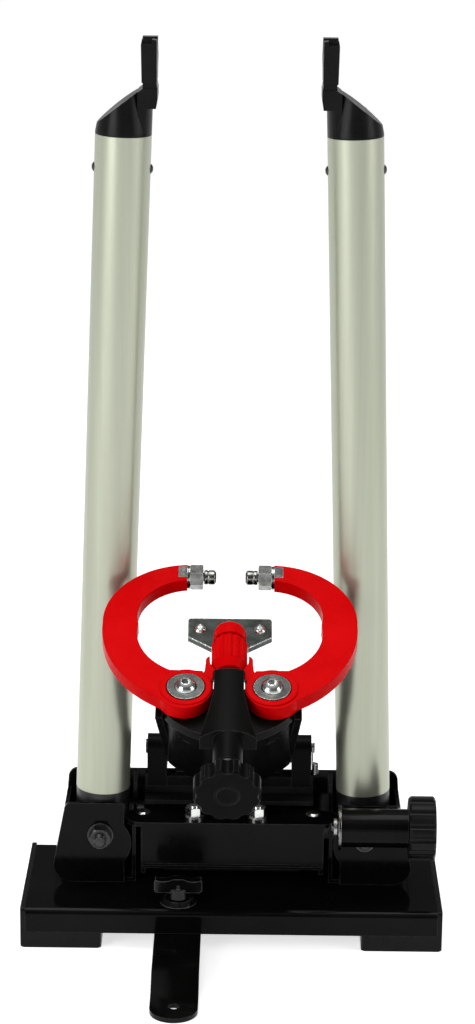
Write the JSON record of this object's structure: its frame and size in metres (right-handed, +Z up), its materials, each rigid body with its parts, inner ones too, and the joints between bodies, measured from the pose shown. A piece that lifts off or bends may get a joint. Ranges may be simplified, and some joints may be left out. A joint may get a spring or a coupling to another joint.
{
  "type": "wheel truing stand",
  "caption": "Bench truing stand for spoked wheels: two linked tube arms with slotted axle caps on a low base, and a hinged rim calliper with curved jaws.",
  "frame": {"origin": "bottom centre of the whole stand at rest, on the bench", "axes": "+X to the right, +Y away from the person at the stand, +Z up"},
  "size_m": [0.2708, 0.2468, 0.5748],
  "materials": {
    "black_gloss": "smooth high-gloss black enamel",
    "black_satin": "satin black paint",
    "black_cast": "fine-textured black paint over cast alloy",
    "black_plastic": "moulded black plastic with a fine grain",
    "bar_paint": "black paint",
    "arm_paint": "satin pale grey-green paint",
    "root_alloy": "machined alloy",
    "red_gloss": "glossy red powder coat",
    "dark_steel": "dark steel",
    "bright_zinc": "bright zinc plate",
    "plain_steel": "plain turned steel"
  },
  "bodies": {
    "stand": {"base_plate": "black_gloss", "foot_left": "black_plastic", "foot_right": "black_plastic", "foot_screws": "dark_steel", "bar_guide": "black_satin", "arm_housing": "black_gloss", "plate_bolts": "dark_steel", "centre_bracket": "black_gloss", "bridge_bracket": "black_satin", "shelf_fasteners": "bright_zinc", "pivot_bolts": "dark_steel", "pivot_nuts": "dark_steel", "pivot_washers": "dark_steel", "screw_barrel": "black_satin", "barrel_screws": "dark_steel", "barrel_ring": "bright_zinc", "hinge_bracket": "black_satin", "hinge_cradle": "black_cast", "cradle_screws": "dark_steel", "hinge_pin": "bright_zinc", "hinge_spring": "bright_zinc", "clamp_washer": "bright_zinc", "wing_stud": "plain_steel", "clamp_nut": "plain_steel"},
    "bar": {"stabiliser_bar": "bar_paint"},
    "wing": {"wing_handle": "black_plastic"},
    "arm_right": {"arm_root_right": "root_alloy", "arm_tube_right": "arm_paint", "axle_cap_right": "black_plastic", "tube_screws_right": "dark_steel", "link_pin_right": "plain_steel", "drive_pin": "plain_steel"},
    "arm_left": {"arm_root_left": "root_alloy", "arm_tube_left": "arm_paint", "axle_cap_left": "black_plastic", "tube_screws_left": "dark_steel", "link_pin_left": "plain_steel"},
    "link": {"sync_link": "plain_steel"},
    "nut": {"drive_nut": "root_alloy"},
    "arm_screw": {"adjusting_screw": "plain_steel", "screw_clip": "plain_steel", "arm_knob": "black_plastic"},
    "calliper": {"calliper_body": "black_cast", "jaw_bolts": "bright_zinc", "jaw_washers": "bright_zinc", "jaw_nuts": "bright_zinc"},
    "jaw_right": {"jaw_right": "red_gloss", "tip_screw_right": "bright_zinc", "tip_nut_right": "bright_zinc"},
    "jaw_left": {"jaw_left": "red_gloss", "tip_screw_left": "bright_zinc", "tip_nut_left": "bright_zinc"},
    "wedge": {"wedge_sleeve": "red_gloss", "nose_dome": "red_gloss", "gauge_plate": "bright_zinc", "gauge_screws": "bright_zinc"},
    "dial": {"spindle": "plain_steel", "front_dial": "black_plastic", "dial_sleeve": "dark_steel"}
  },
  "joints": [
    {"name": "bar_slide", "type": "slide", "parent": "stand", "child": "bar", "axis": [0, -1, 0], "range_m": [0, 0.03]},
    {"name": "wing_turn", "type": "hinge", "parent": "stand", "child": "wing", "pos_m": [-0.0344, 0.02981, 0.038], "axis": [0, 0, 1], "range_deg": [0, 360]},
    {"name": "arm_right_swing", "type": "hinge", "parent": "stand", "child": "arm_right", "pos_m": [0.086, 0.07981, 0.06], "axis": [0, 1, 0], "range_deg": [-1.2, 8.2]},
    {"name": "arm_left_swing", "type": "hinge", "parent": "stand", "child": "arm_left", "pos_m": [-0.086, 0.07981, 0.06], "axis": [0, 1, 0], "range_deg": [-8.25, 1.25]},
    {"name": "link_slide", "type": "slide", "parent": "stand", "child": "link", "axis": [-1, 0, 0], "range_m": [-0.00025, 0.0016]},
    {"name": "nut_slide", "type": "slide", "parent": "stand", "child": "nut", "axis": [1, 0, 0], "range_m": [-0.00034, 0.0022]},
    {"name": "arm_knob_turn", "type": "hinge", "parent": "stand", "child": "arm_screw", "pos_m": [0.113, 0.03981, 0.0752], "axis": [1, 0, 0], "range_deg": [-524, 77.5]},
    {"name": "calliper_swing", "type": "hinge", "parent": "stand", "child": "calliper", "pos_m": [-0.0026, 0.09881, 0.107], "axis": [1, 0, 0], "range_deg": [0, 20]},
    {"name": "jaw_right_swing", "type": "hinge", "parent": "calliper", "child": "jaw_right", "pos_m": [0.0236, -0.03441, 0.19329], "axis": [0, 0.3827, -0.9239], "range_deg": [0, 5.4]},
    {"name": "jaw_left_swing", "type": "hinge", "parent": "calliper", "child": "jaw_left", "pos_m": [-0.0288, -0.03441, 0.19329], "axis": [0, 0.3827, -0.9239], "range_deg": [-5.42, 0]},
    {"name": "wedge_slide", "type": "slide", "parent": "calliper", "child": "wedge", "axis": [0, -0.9239, -0.3827], "range_m": [0, 0.00182]},
    {"name": "dial_turn", "type": "hinge", "parent": "calliper", "child": "dial", "pos_m": [-0.0026, -0.11599, 0.1595], "axis": [0, 0.9239, 0.3827], "range_deg": [0, 325]}
  ],
  "couplings": [
    {"joint": "arm_left_swing", "follows": "arm_right_swing", "ratio": -1},
    {"joint": "link_slide", "follows": "arm_right_swing", "m_per_rad": 0.011},
    {"joint": "nut_slide", "follows": "arm_right_swing", "m_per_rad": 0.0152},
    {"joint": "arm_knob_turn", "follows": "arm_right_swing", "ratio": -63.67},
    {"joint": "jaw_left_swing", "follows": "jaw_right_swing", "ratio": -1},
    {"joint": "wedge_slide", "follows": "jaw_right_swing", "m_per_rad": 0.0191},
    {"joint": "dial_turn", "follows": "jaw_right_swing", "ratio": 60}
  ]
}
